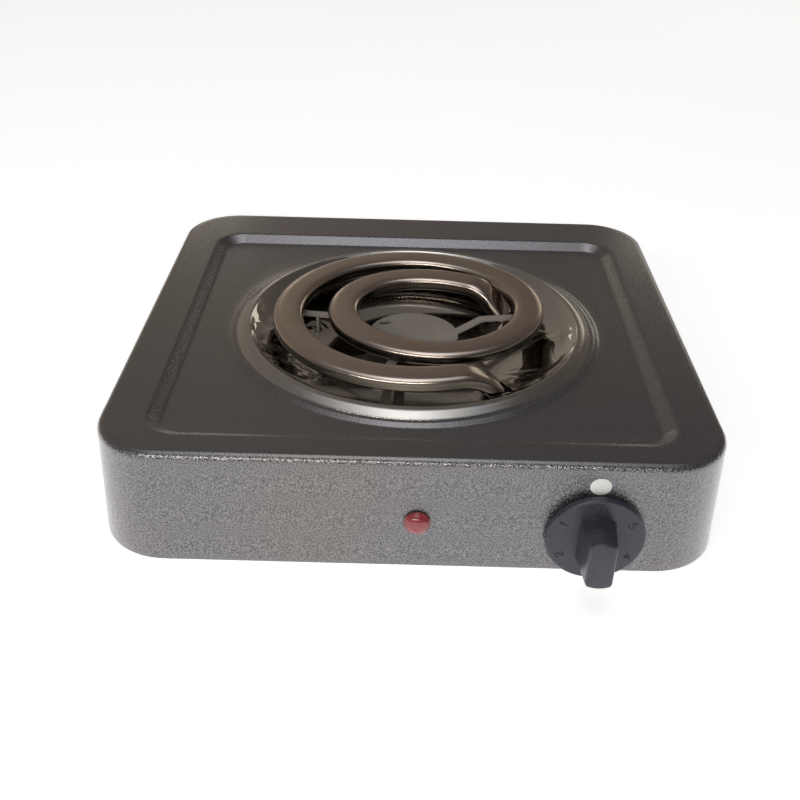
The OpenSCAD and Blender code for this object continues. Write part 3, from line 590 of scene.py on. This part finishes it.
def coil_path():
    """Points (x, y, z) and the heading angle of the width direction, from the outer leg to the inner leg."""
    pts = []
    hx, hy = cos(rad(OUT_H)), sin(rad(OUT_H))
    leg = (OUT_P[0] + (OUT_L + OUT_B) * hx, OUT_P[1] + (OUT_L + OUT_B) * hy)
    z1 = COIL_Z - OUT_B
    for i in range(5):
        pts.append((leg[0], leg[1], LEG_Z + (z1 - LEG_Z) * i / 5, OUT_H + 180))
    for i in range(0, 25):
        a = rad(90 - 90 * i / 24)
        t = OUT_L + OUT_B * sin(a)
        pts.append((OUT_P[0] + t * hx, OUT_P[1] + t * hy, COIL_Z - OUT_B * (1 - cos(a)), OUT_H + 180))
    pts.append((OUT_P[0] + OUT_L / 2 * hx, OUT_P[1] + OUT_L / 2 * hy, COIL_Z, OUT_H + 180))

    def sweep(c, r, a, b, step=1.6):
        n = max(3, int(abs(b - a) / step))
        for i in range(n + 1):
            t = a + (b - a) * i / n
            if i == 0 and pts and math.dist(pts[-1][:2], (c[0] + r * cos(rad(t)), c[1] + r * sin(rad(t)))) < 0.2:
                continue
            pts.append((c[0] + r * cos(rad(t)), c[1] + r * sin(rad(t)), COIL_Z, t - 90))

    sweep(C1, R1, A1S, A1E - 360)
    sweep(C2, R2, A1E, A2E)
    sweep(C3, R3, A2E, A3E - 360)
    sweep(C4, R4, A3E, A4E)
    ux, uy = cos(rad(IN_H)), sin(rad(IN_H))
    t1, d1 = IN_B * sin(rad(IN_DIP)), IN_B * (1 - cos(rad(IN_DIP)))
    t2, d2 = t1 + IN_S * cos(rad(IN_DIP)), d1 + IN_S * sin(rad(IN_DIP))
    for i in range(1, 13):
        a = rad(IN_DIP * i / 12)
        pts.append((IN_P[0] + IN_B * sin(a) * ux, IN_P[1] + IN_B * sin(a) * uy, COIL_Z - IN_B * (1 - cos(a)), IN_H))
    for i in range(1, 5):
        t, d = t1 + (t2 - t1) * i / 4, d1 + (d2 - d1) * i / 4
        pts.append((IN_P[0] + t * ux, IN_P[1] + t * uy, COIL_Z - d, IN_H))
    for i in range(1, 13):
        a = rad(IN_DIP + (90 - IN_DIP) * i / 12)
        t = t2 + IN_B * (sin(a) - sin(rad(IN_DIP)))
        d = d2 + IN_B * (cos(rad(IN_DIP)) - cos(a))
        pts.append((IN_P[0] + t * ux, IN_P[1] + t * uy, COIL_Z - d, IN_H))
    x, y, z = pts[-1][:3]
    for i in range(1, 5):
        pts.append((x, y, z + (LEG_Z - z) * i / 4, IN_H))
    return pts


def build_coil():
    pts = coil_path()
    P = [Vector(p[:3]) for p in pts]
    rings = []
    m = 56
    for i, p in enumerate(P):
        t = (P[min(i + 1, len(P) - 1)] - P[max(i - 1, 0)]).normalized()
        h = rad(pts[i][3])
        side = Vector((sin(h), -cos(h), 0))
        up = side.cross(t).normalized()
        w, hh = TUBE_W / 2 - 0.01, TUBE_H / 2 - 0.005
        # the pressed section is a little uneven along its length
        k = 1 - 0.012 * (0.5 + 0.5 * noise.noise(Vector((p.x * 0.03, p.y * 0.03, 3.1))))
        ring = []
        for j in range(m):
            a = 2 * pi * j / m
            c, s = cos(a), sin(a)
            u = w * k * math.copysign(abs(c) ** 0.6, c)
            v = hh * math.copysign(abs(s) ** 0.6, s)
            q = p + side * u + up * v
            ring.append((q.x, q.y, q.z))
        rings.append(ring)
    return obj_from(loft(rings, cap_start=True, cap_end=True), "coil_tube", sharp=60)


coil = build_coil()
piece(coil, "coil", "oxidised_tube", "housing", "heating_element")
OUT_LEG = (OUT_P[0] + (OUT_L + OUT_B) * cos(rad(OUT_H)), OUT_P[1] + (OUT_L + OUT_B) * sin(rad(OUT_H)))
_t3 = IN_B * sin(rad(IN_DIP)) + IN_S * cos(rad(IN_DIP)) + IN_B * (1 - sin(rad(IN_DIP)))
IN_LEG = (IN_P[0] + _t3 * cos(rad(IN_H)), IN_P[1] + _t3 * sin(rad(IN_H)))


# ---------------------------------------------------------------- drip pan
RIM_Z = SEAT_Z + 2.4
BOWL_R, PAN_R, MOUTH, WALL_R, WALL_A, FLOOR_A = 71.7, 78.0, 1.2, 66.0, rad(45), rad(20)
RISE, CROWN, CROWN_R = rad(29), 72.6, 5.74
BOWL_S = WALL_R / sin(FLOOR_A)
WALL_S = (BOWL_R - WALL_R) / (sin(WALL_A) - sin(FLOOR_A))
BOWL_Z = RIM_Z - MOUTH * (1 - cos(WALL_A))
WALL_Z = BOWL_Z - WALL_S * (cos(FLOOR_A) - cos(WALL_A))
BOWL_C = WALL_Z + BOWL_S * cos(FLOOR_A)
ARMS = ((172, 43.2), (10, 51.2), (-104, 43.2))


def bowl_at(r):
    if r <= WALL_R:
        return BOWL_C - math.sqrt(BOWL_S ** 2 - r * r)
    d = r - (BOWL_R - WALL_S * sin(WALL_A))
    return BOWL_Z + WALL_S * cos(WALL_A) - math.sqrt(max(WALL_S ** 2 - d * d, 0))


def ease(v, a, b):
    t = max(0.0, min(1.0, (v - a) / (b - a)))
    return t * t * (3 - 2 * t)


def blob(x, y, cx, cy, rx, ry):
    return math.exp(-(((x - cx) / rx) ** 2 + ((y - cy) / ry) ** 2))


def ridge(x, y, s, seed):
    n = noise.noise(Vector((x * s, y * s, seed)))
    return 1 - 2 * math.sqrt(n * n + 0.0016)


DENTS = ((-45.0, 8.5, 5.0, 6.5, 0.75, 0.16, 2.1), (62.5, -7.5, 7.5, 6.5, 0.75, 0.13, 3.3), (55.0, 1.5, 4.0, 5.5, 0.45, 0.20, 9.1),
         (68.3, -8.0, 3.0, 4.5, -0.60, 0.03, 4.0), (31.0, 14.0, 5.0, 5.0, 0.30, 0.20, 6.2), (41.0, 15.0, 4.0, 4.0, 0.40, 0.24, 5.1),
         (47.0, -36.0, 7.0, 7.0, 0.30, 0.15, 8.8))


def pan_wave(x, y, r):
    """Creases and small dents that the pressing leaves in the bowl, in mm."""
    ang = math.degrees(math.atan2(y, x))
    edge = ease(r, 20, 40) * (1 - ease(r, 69.5, 71.6))
    v = 0.04 * noise.noise(Vector((x * 0.05, y * 0.05, 7.7)))
    # folds that run along the left wall
    la = ang % 360
    left = ease(la, 160, 176) * (1 - ease(la, 214, 232)) * ease(r, 50, 57)
    v += left * (0.62 * noise.noise(Vector((la * 0.105, r * 0.15, 1.7))) + 0.16 * noise.noise(Vector((la * 0.26, r * 0.34, 5.3))))
    # crumples by the slots and the leg holes
    for cx, cy, rx, ry, h, sc, sd in DENTS:
        w = blob(x, y, cx, cy, rx, ry)
        if w > 0.01:
            v += h * w * ridge(x, y, sc, sd)
    return v * edge


def build_pan():
    m = 600
    zc = RIM_Z - CROWN_R
    r1, z1 = CROWN + CROWN_R * sin(RISE), zc + CROWN_R * cos(RISE)
    slope = lambda r: z1 - (r - r1) * math.tan(RISE)
    prof = [(PAN_R - 0.02, SEAT_Z + 0.01), (PAN_R - 0.02, SEAT_Z + 0.1), (PAN_R - 0.1, SEAT_Z + 0.2), (PAN_R - 0.3, slope(PAN_R - 0.3))]
    prof += [(r, slope(r)) for r in (77.2, 76.6, 76.0, 75.6)]
    prof += [(CROWN + CROWN_R * sin(RISE * (1 - i / 8)), zc + CROWN_R * cos(RISE * (1 - i / 8))) for i in range(9)]
    prof += [(BOWL_R + MOUTH * (sin(WALL_A) - sin(WALL_A * t)), RIM_Z - MOUTH * (1 - cos(WALL_A * t))) for t in (0, 0.2, 0.4, 0.6, 0.8, 1.0)]
    steps = 118
    for i in range(1, steps):
        r = BOWL_R * (1 - i / steps)
        prof.append((r, bowl_at(r)))
    bm = bmesh.new()
    rings = []
    for r, z in prof:
        ring = []
        for j in range(m):
            a = 2 * pi * j / m
            x, y = r * cos(a), r * sin(a)
            dz = pan_wave(x, y, r) if r < 71.65 else 0.0
            ring.append(bm.verts.new(((PAN[0] + x) * MM, (PAN[1] + y + BY) * MM, (z + dz) * MM)))
        rings.append(ring)
    c = bm.verts.new((PAN[0] * MM, (PAN[1] + BY) * MM, bowl_at(0) * MM))
    for a, b in zip(rings, rings[1:]):
        for j in range(m):
            bm.faces.new((a[j], a[(j + 1) % m], b[(j + 1) % m], b[j]))
    for j in range(m):
        bm.faces.new((rings[-1][j], rings[-1][(j + 1) % m], c))
    ob = obj_from(bm, "pan_bowl", smooth=True)
    s = ob.modifiers.new("sheet", "SOLIDIFY")
    s.thickness = 0.5 * MM
    s.offset = -1.0
    apply_all(ob)
    cutters = [box_at("cutter", (-9.9, -7.4, -20), (1.7, 7.4, 40), rad(OUT_H), (OUT_LEG[0], OUT_LEG[1], 30)),
               box_at("cutter", (-8.6, -7.4, -20), (2.3, 7.4, 40), rad(IN_H), (IN_LEG[0], IN_LEG[1], 30))]
    for a, r in ARMS:
        cutters.append(box_at("cutter", (r - 1.2, -2.4, -20), (r + 1.2, 2.4, 40), rad(a), (PAN[0], PAN[1], 30)))
    cut(ob, cutters)
    for p in ob.data.polygons:
        p.use_smooth = True
    ob.data.set_sharp_from_angle(angle=rad(60))
    return ob


pan = build_pan()
piece(pan, "chrome", "chrome", "housing", "drip_pan")


# ---------------------------------------------------------------- knob
KX, KZ = 68.3, LIP + 17.7
KW = front_wall(17.7)
K_BACK, K_FACE, K_TIP = KW - 1.15, KW - 4.1, -(D / 2 + 19.8)
K_R = 18.4


def build_knob():
    # turned skirt: rounded rim, shallow dished face
    prof = [(K_R - 1.6, K_BACK + 0.0), (K_R - 0.25, K_BACK), (K_R, K_BACK - 0.25), (K_R, K_FACE + 1.1), (K_R - 0.15, K_FACE + 0.7),
            (K_R - 0.5, K_FACE + 0.38), (K_R - 0.95, K_FACE + 0.26), (K_R - 1.5, K_FACE + 0.24), (15.0, K_FACE + 0.17), (13.0, K_FACE + 0.08), (11.6, K_FACE + 0.02), (8.0, K_FACE), (0.0, K_FACE)]
    inner = [(K_R - 1.6, K_BACK), (K_R - 1.6, K_FACE + 1.2), (3.1, K_FACE + 1.2), (3.1, KW - 12.3), (0.0, KW - 12.3)]
    bm = bmesh.new()
    m = 128

    def add(prof):
        rings = []
        for r, y in prof:
            if r < 1e-4:
                rings.append([bm.verts.new((KX * MM, (y + BY) * MM, KZ * MM))])
            else:
                rings.append([bm.verts.new(((KX + r * cos(2 * pi * j / m)) * MM, (y + BY) * MM, (KZ + r * sin(2 * pi * j / m)) * MM)) for j in range(m)])
        for a, b in zip(rings, rings[1:]):
            for j in range(m):
                k = (j + 1) % m
                vs = [a[j % len(a)], a[k % len(a)], b[k % len(b)], b[j % len(b)]]
                u = []
                for v in vs:
                    if v not in u:
                        u.append(v)
                if len(u) > 2:
                    bm.faces.new(u)
        return rings

    ra = add(prof)
    rb = add(inner)
    bmesh.ops.remove_doubles(bm, verts=bm.verts, dist=1e-7)
    ob = obj_from(bm, "dial_skirt", sharp=40)
    return ob


def grip_outline(w, r, n=10, rc=0.9):
    """Outline of the bar: flat sides at +-w, ends on a circle of radius r, corners eased. Points (x, z)."""
    pts = []
    zc = math.sqrt(max(r * r - w * w, 0.01))
    a0 = math.atan2(zc, w)
    for s in (1, -1):
        # side
        for i in range(n + 1):
            t = -1 + 2 * i / n
            pts.append((s * w, s * t * (zc - rc)))
        for i in range(1, 2 * n):
            a = a0 + (pi - 2 * a0) * i / (2 * n)
            pts.append((s * r * cos(a), s * r * sin(a)))
    return pts


def build_grip():
    y0, y1 = K_FACE + 0.1, K_TIP
    secs = []
    L = y0 - y1
    levels = [(-0.02, 0.35), (0.03, 0.10), (0.06, 0.0), (0.3, 0.0), (0.6, 0.0), (0.86, 0.0), (0.935, -0.05), (0.97, -0.22), (0.99, -0.52), (1.0, -0.95)]
    for t, grow in levels:
        y = y0 - L * max(t, 0) if t >= 0 else y0 + 0.2
        w = 6.6 + (4.9 - 6.6) * max(t, 0) + grow
        r = 10.75 + (10.45 - 10.75) * max(t, 0) + grow
        secs.append([(KX + x, y, KZ + z) for x, z in grip_outline(w, r)])
    bm = loft(secs, cap_start=True, cap_end=True)
    return obj_from(bm, "dial_grip", sharp=38)


knob = build_knob()
grip = build_grip()
piece(knob, "black", "black_plastic", "knob", "knob")
piece(grip, "black", "black_plastic", "knob")


def stroke_digit(d, w=2.0, h=3.0):
    """Centre-line strokes of a plain digit, in mm, centred on the origin."""
    a, b = w / 2, h / 2

    def oval(cx, cy, rx, ry, t0, t1, n=16):
        return [(cx + rx * cos(rad(t0 + (t1 - t0) * i / n)), cy + ry * sin(rad(t0 + (t1 - t0) * i / n))) for i in range(n + 1)]

    return {
        0: [oval(0, 0, a, b, 0, 360, 28)],
        1: [[(-a * 0.5, b * 0.6), (0.1, b), (0.1, -b)]],
        2: [oval(0, b - a * 0.9, a, a * 0.9, 160, -30, 14) + [(-a, -b), (a, -b)]],
        3: [oval(0, b / 2, a * 0.95, b / 2, 150, -90, 14) + oval(0, -b / 2, a, b / 2, 90, -150, 16)],
        4: [[(a * 0.45, -b), (a * 0.45, b), (-a, -b * 0.35), (a, -b * 0.35)]],
        5: [[(a * 0.85, b), (-a * 0.7, b), (-a * 0.85, b * 0.12)] + oval(0, -b * 0.38, a, b * 0.62, 120, -150, 16)],
    }[d]


def ribbon(bm, pts, place, width=0.55, height=0.34):
    """Raised rounded bead along a stroke. place maps (u, v, lift) in mm to a frame point."""
    n = len(pts)
    closed = math.dist(pts[0], pts[-1]) < 1e-6
    rings = []
    for i, p in enumerate(pts):
        q0 = pts[(i - 1) % (n - 1)] if closed else pts[max(i - 1, 0)]
        q1 = pts[(i + 1) % (n - 1)] if closed else pts[min(i + 1, n - 1)]
        tx, ty = q1[0] - q0[0], q1[1] - q0[1]
        l = math.hypot(tx, ty) or 1
        nx, ny = -ty / l, tx / l
        ring = []
        for s, hgt in ((-1.0, -0.08), (-0.8, 0.55), (-0.3, 1.0), (0.3, 1.0), (0.8, 0.55), (1.0, -0.08)):
            ring.append(bm.verts.new(place(p[0] + nx * s * width / 2, p[1] + ny * s * width / 2, hgt * height)))
        rings.append(ring)
    for a, b in zip(rings, rings[1:]):
        for j in range(5):
            bm.faces.new((a[j], a[j + 1], b[j + 1], b[j]))
    if not closed:
        bm.faces.new(rings[0][::-1])
        bm.faces.new(rings[-1])


def build_digits():
    bm = bmesh.new()
    for d in range(6):
        a = -rad(60 * d)          # the dial turns clockwise, so its marks run anticlockwise

        def place(u, v, lift, a=a):
            rr = 14.6 + v
            x = u
            # a points from the top anticlockwise as seen from the front
            px = x * cos(a) + rr * sin(a)
            pz = -x * sin(a) + rr * cos(a)
            return ((KX + px) * MM, (K_FACE + 0.17 - lift + BY) * MM, (KZ + pz) * MM)

        for st in stroke_digit(d):
            ribbon(bm, st, place)
    return obj_from(bm, "dial_digits", sharp=50)


digits = build_digits()
piece(digits, "black", "black_plastic", "knob")


# ---------------------------------------------------------------- other outside pieces
def build_dot():
    h = 38.9
    y = front_wall(h)
    tilt = math.atan(DR / (48 - ER))
    bm = bmesh.new()
    m = 64
    rings = []
    for r, l in ((3.72, 0.02), (3.83, 0.10), (3.80, 0.20), (3.66, 0.27), (2.0, 0.295), (0.6, 0.30)):
        ring = []
        for j in range(m):
            a = 2 * pi * j / m
            u, v = r * 1.03 * cos(a), r * 0.93 * sin(a)
            # local normal leans up with the wall
            ny, nz = -cos(tilt), sin(tilt)
            vy, vz = sin(tilt), cos(tilt)
            ring.append(bm.verts.new(((KX + u) * MM, (y + BY + v * vy + l * ny) * MM, (LIP + h + v * vz + l * nz) * MM)))
        rings.append(ring)
    for a, b in zip(rings, rings[1:]):
        for j in range(m):
            bm.faces.new((a[j], a[(j + 1) % m], b[(j + 1) % m], b[j]))
    bm.faces.new(rings[-1])
    bm.faces.new(rings[0][::-1])
    return obj_from(bm, "panel_dot", sharp=60)


piece(build_dot(), "white", "white_enamel", "housing", "index_dot")

LZ = LIP + 21
LW = front_wall(21)
lens = lathe_y("pilot_lens", [(2.7, LW - 1.55), (2.7, LW + 1.4), (4.0, LW + 1.4), (4.0, LW - 0.25), (4.75, LW - 0.25), (4.95, LW - 0.45), (4.98, LW - 0.8), (4.85, LW - 1.1), (4.6, LW - 1.25),
                              (4.45, LW - 1.6), (4.1, LW - 2.2), (3.6, LW - 2.75), (2.9, LW - 3.2), (2.0, LW - 3.52), (1.0, LW - 3.67), (0.0, LW - 3.7)], (2.7, LZ), sharp=50)
piece(lens, "lens", "red_lens", "housing", "lamp_lens")

GW = rear_wall(22)
gland = lathe_y("rear_gland", [(3.6, GW - 4.0), (7.4, GW - 4.0), (7.6, GW - 3.8), (7.6, GW - 1.6), (7.4, GW - 1.4), (6.0, GW - 1.4), (6.0, GW + 0.5), (8.2, GW + 0.5), (8.5, GW + 0.8), (8.5, GW + 2.9),
                              (8.3, GW + 3.4), (7.8, GW + 3.9), (7.1, GW + 4.25), (6.4, GW + 4.3), (4.6, GW + 4.3), (4.0, GW + 4.1), (3.65, GW + 3.7), (3.6, GW + 3.2), (3.6, GW - 4.0)], (68.0, LIP + 22), sharp=50)
piece(gland, "rubber", "black_rubber", "housing", "cord_gland")

# ---------------------------------------------------------------- carried-over pieces
KEEP = {
    "base_plate": "steel", "foot_front_left": "rubber", "foot_front_right": "rubber", "foot_rear_left": "rubber", "foot_rear_right": "rubber",
    "foot_screws": "steel", "foot_nuts": "steel", "base_screws": "steel", "pan_bracket": "steel", "pan_stud": "steel", "pan_nut": "steel",
    "coil_support": "dull_steel", "insulator_outer": "ceramic", "insulator_inner": "ceramic",
    "terminal_outer": "steel", "terminal_inner": "steel", "thermostat_plate": "steel", "thermostat_body": "ceramic", "thermostat_screws": "steel",
    "thermostat_terminals": "brass", "bimetal_strip": "brass", "fixed_contact": "brass", "contact_arm": "brass", "spindle_bush": "brass",
    "spindle": "steel", "knob_clip": "steel", "lamp_holder": "black", "lamp_clip": "steel", "neon_bulb": "bulb", "terminal_block": "ceramic",
    "terminal_screws": "brass", "earth_screw": "brass", "earth_washer": "steel", "earth_nut": "brass", "lead_live": "brown", "lead_switched": "grey",
    "lead_neutral": "blue", "lead_earth": "green", "lead_lamp_live": "brown", "lead_lamp_neutral": "blue",
}
for name, key in KEEP.items():
    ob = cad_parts[name]
    for i in range(len(ob.material_slots)):
        ob.material_slots[i].material = mat(key)

# ---------------------------------------------------------------- stage, light and camera
floor_me = bpy.data.meshes.new("floor")
bm = bmesh.new()
bmesh.ops.create_grid(bm, x_segments=1, y_segments=1, size=6.0)
bm.to_mesh(floor_me)
bm.free()
floor = bpy.data.objects.new("floor", floor_me)
bpy.context.collection.objects.link(floor)
fm, nt, b = new_mat("floor_pale")
v = coords(nt)
n = noise_tex(nt, v, 3, 2.0, 0.5)
c = ramp(nt, n.outputs["Fac"], [(0.3, (0.90, 0.90, 0.90)), (0.7, (0.93, 0.93, 0.93))])
nt.links.new(c.outputs["Color"], b.inputs["Base Color"])
b.inputs["Roughness"].default_value = 0.9
b.inputs["Specular IOR Level"].default_value = 0.1
b.inputs["Emission Color"].default_value = (1, 1, 1, 1)
b.inputs["Emission Strength"].default_value = 0.64
floor_me.materials.append(fm)

world = bpy.data.worlds.new("studio")
bpy.context.scene.world = world
world.use_nodes = True
wt = world.node_tree
bg = wt.nodes["Background"]
tc = wt.nodes.new("ShaderNodeTexCoord")
sx = wt.nodes.new("ShaderNodeSeparateXYZ")
wt.links.new(tc.outputs["Generated"], sx.inputs[0])


def world_ramp(stops):
    r = wt.nodes.new("ShaderNodeValToRGB")
    e = r.color_ramp.elements
    while len(e) < len(stops):
        e.new(0.5)
    for q, (p, c) in zip(e, stops):
        q.position, q.color = p, (*c, 1)
    wt.links.new(sx.outputs["Z"], r.inputs[0])
    return r.outputs[0]


rear = world_ramp([(0.0, (0.235, 0.205, 0.175)), (0.30, (0.20, 0.17, 0.145)), (0.62, (0.15, 0.13, 0.115)), (1.0, (0.12, 0.12, 0.125))])
front = world_ramp([(0.0, (0.10, 0.095, 0.09)), (1.0, (0.12, 0.12, 0.125))])
side = wt.nodes.new("ShaderNodeMapRange")
side.inputs["From Min"].default_value = -0.25
side.inputs["From Max"].default_value = 0.35
wt.links.new(sx.outputs["Y"], side.inputs["Value"])
mixw = wt.nodes.new("ShaderNodeMix")
mixw.data_type = "RGBA"
wt.links.new(side.outputs["Result"], mixw.inputs["Factor"])
wt.links.new(front, mixw.inputs[6])
wt.links.new(rear, mixw.inputs[7])
dim = wt.nodes.new("ShaderNodeMapRange")
for k, val in (("From Min", -0.12), ("From Max", 0.26), ("To Min", 1.20), ("To Max", 0.60)):
    dim.inputs[k].default_value = val
wt.links.new(sx.outputs["X"], dim.inputs["Value"])
dimmed = wt.nodes.new("ShaderNodeVectorMath")
dimmed.operation = "SCALE"
wt.links.new(mixw.outputs[2], dimmed.inputs[0])
wt.links.new(dim.outputs["Result"], dimmed.inputs["Scale"])
wt.links.new(dimmed.outputs["Vector"], bg.inputs[0])
bg.inputs[1].default_value = 1.0


def area(name, loc, target, size, level, col=(1, 1, 1)):
    """A rectangular soft light; level is how bright its face looks."""
    l = bpy.data.lights.new(name, "AREA")
    l.shape = "RECTANGLE"
    l.size, l.size_y = size
    l.energy = level * pi * size[0] * size[1]
    l.color = col
    o = bpy.data.objects.new(name, l)
    bpy.context.collection.objects.link(o)
    o.location = loc
    o.rotation_euler = (Vector(target) - Vector(loc)).to_track_quat("-Z", "Y").to_euler()
    return o


area("key", (-0.42, -1.55, 0.95), (0, 0, 0.05), (1.7, 0.18), 12.6, (1, 0.975, 0.92))
area("top_inner", (-0.06, -0.22, 1.70), (-0.06, -0.22, 0), (0.50, 1.2), 0.75, (0.97, 0.98, 1.0))
area("top_middle", (-0.06, -0.22, 1.72), (-0.06, -0.22, 0), (0.90, 1.35), 0.40, (0.97, 0.98, 1.0))
area("top_outer", (-0.06, -0.22, 1.74), (-0.06, -0.22, 0), (1.30, 1.5), 0.28, (0.97, 0.98, 1.0))
area("top_edge", (-0.06, -0.22, 1.76), (-0.06, -0.22, 0), (1.9, 1.6), 0.22, (0.97, 0.98, 1.0))
area("back_right", (0.540, 1.101, 0.380), (-0.07, 0, 0.055), (0.40, 0.25), 0.78, (1, 0.96, 0.80))
area("back_left", (-0.341, 1.193, 0.37), (0.07, 0, 0.055), (0.15, 0.20), 0.70, (1, 0.96, 0.82))

K = 236 / 230
pitch, yaw, roll = 0.5699417702832656, -0.001372672973088839, 0.025471578332835688
fwd = Vector((sin(yaw) * cos(pitch), cos(yaw) * cos(pitch), -sin(pitch)))
right = Vector((cos(yaw), -sin(yaw), 0))
up = right.cross(fwd)
r2 = right * cos(roll) + up * sin(roll)
u2 = -right * sin(roll) + up * cos(roll)
M = Matrix(((r2.x, u2.x, -fwd.x, 0), (r2.y, u2.y, -fwd.y, 0), (r2.z, u2.z, -fwd.z, 0), (0, 0, 0, 1)))
M.translation = Vector((-4.204 * K, -388.90 * K + BY, 251.354 * K + LIP)) * MM
cam = bpy.data.cameras.new("camera")
co = bpy.data.objects.new("camera", cam)
bpy.context.collection.objects.link(co)
co.matrix_world = M
cam.sensor_width = 36
cam.lens = 1003.2 / 800 * 36
cam.clip_start = 0.01
bpy.context.scene.camera = co
bpy.context.scene.view_settings.view_transform = "Standard"
